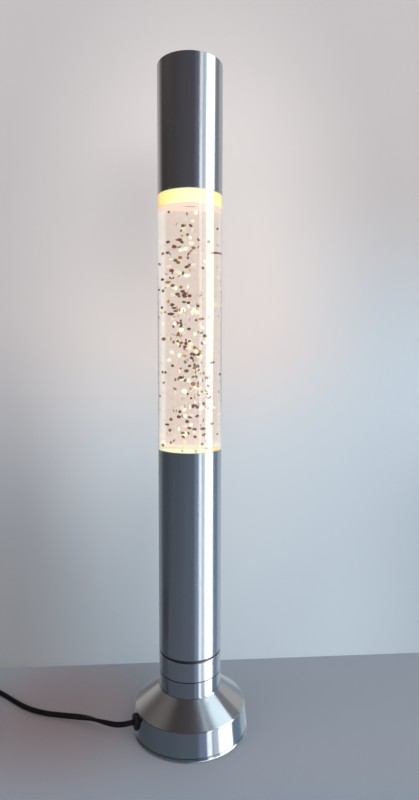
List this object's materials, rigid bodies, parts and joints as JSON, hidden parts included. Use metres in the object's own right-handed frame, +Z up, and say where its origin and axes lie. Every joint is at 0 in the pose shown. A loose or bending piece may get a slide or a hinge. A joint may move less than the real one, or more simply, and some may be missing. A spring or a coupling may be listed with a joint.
{
  "type": "glitter lamp",
  "caption": "Slim glitter lamp: spun metal foot and column, clear liquid-filled tube that lifts out, metal cap, and a flat flex with switch and plug.",
  "frame": {"origin": "centre of the foot on the table, under the lamp's axis", "axes": "+Z up along the lamp's axis, -Y towards the viewer, the flex leaves towards -X"},
  "size_m": [0.3786, 0.1324, 0.6035],
  "materials": {
    "black_thermoset": "black thermoset",
    "black_plastic": "fine satin black",
    "bulb_cap": "rolled thread",
    "bulb_glass": "reflector bulb, frosted dome",
    "bulb_insulator": "black glass",
    "cap_metal": "satin brushed along the axis, clear lacquered",
    "cast_iron": "rough cast, oiled",
    "ceramic_insert": "unglazed",
    "clamp_plastic": "natural nylon",
    "clear_acrylic": "clear, polished",
    "column_metal": "satin brushed along the axis, clear lacquered",
    "contact_brass": "plain brass",
    "core_plastic": "one brown and one blue insulated core",
    "filament": "glass stem, wires and coil",
    "flex_black": "soft satin PVC, black",
    "foam": "closed-cell foam, matt black",
    "glitter": "metallic flakes: gold, bronze and cream",
    "lid_metal": "plain satin disc",
    "liquid": "clear warm-tinted liquid",
    "nickel": "nickel-plated brass",
    "nylon_screw": "white nylon",
    "plate_steel": "dark zinc phosphate",
    "seal_rubber": "silicone, smooth",
    "sleeve_metal": "turned",
    "spun_metal": "satin brushed, spun round the axis, clear lacquered",
    "stopper_plastic": "translucent yellow, glows in the light",
    "tip_solder": "solder",
    "window_plastic": "translucent cream, lit from below",
    "zinc_steel": "zinc plated"
  },
  "bodies": {
    "lamp": {"foot_shell": "spun_metal", "base_plate": "plate_steel", "base_pad": "foam", "ballast_weight": "cast_iron", "support_pipe": "zinc_steel", "pipe_nuts": "zinc_steel", "pipe_washers": "zinc_steel", "neck_collar": "column_metal", "coupling_sleeve": "sleeve_metal", "column_tube": "column_metal", "centring_disc": "sleeve_metal", "cord_grommet": "black_plastic", "cord_clamp": "clamp_plastic", "clamp_screws": "zinc_steel", "inner_lead": "flex_black", "inner_cores": "core_plastic", "lampholder": "black_thermoset", "holder_insert": "ceramic_insert", "holder_thread": "contact_brass", "centre_contact": "contact_brass", "terminal_screws": "contact_brass", "switch_base": "black_plastic", "switch_cover": "black_plastic", "rocker_pin": "zinc_steel", "switch_contacts": "contact_brass", "switch_screws": "zinc_steel", "cord_lead": "flex_black", "cord_link": "flex_black", "cord_coil": "flex_black", "coil_ties": "black_plastic", "cord_tail": "flex_black", "plug_relief": "black_plastic", "plug_body": "black_plastic", "plug_pins": "nickel", "pin_sleeves": "black_plastic"},
    "bottle": {"clear_tube": "clear_acrylic", "bottom_window": "window_plastic", "seal_rings": "seal_rubber", "liquid_fill": "liquid", "glitter_flakes": "glitter", "top_stopper": "stopper_plastic", "filler_screw": "nylon_screw", "filler_washer": "seal_rubber"},
    "cap": {"cap_tube": "cap_metal", "cap_lid": "lid_metal"},
    "bulb": {"bulb_glass": "bulb_glass", "bulb_screw_cap": "bulb_cap", "bulb_insulator": "bulb_insulator", "bulb_tip": "tip_solder", "filament": "filament"},
    "rocker": {"switch_rocker": "black_plastic"}
  },
  "joints": [
    {"name": "bottle_lift", "type": "slide", "parent": "lamp", "child": "bottle", "axis": [0, 0, 1], "range_m": [0, 0.06]},
    {"name": "cap_lift", "type": "slide", "parent": "bottle", "child": "cap", "axis": [0, 0, 1], "range_m": [0, 0.04]},
    {"name": "bulb_screw", "type": "hinge", "parent": "lamp", "child": "bulb", "pos_m": [0, 0, 0.1755], "axis": [0, 0, 1], "range_deg": [0, 1080]},
    {"name": "switch_rock", "type": "hinge", "parent": "lamp", "child": "rocker", "pos_m": [-0.266, 0.066, 0.0138], "axis": [0, 1, 0], "range_deg": [-16, 0]}
  ]
}
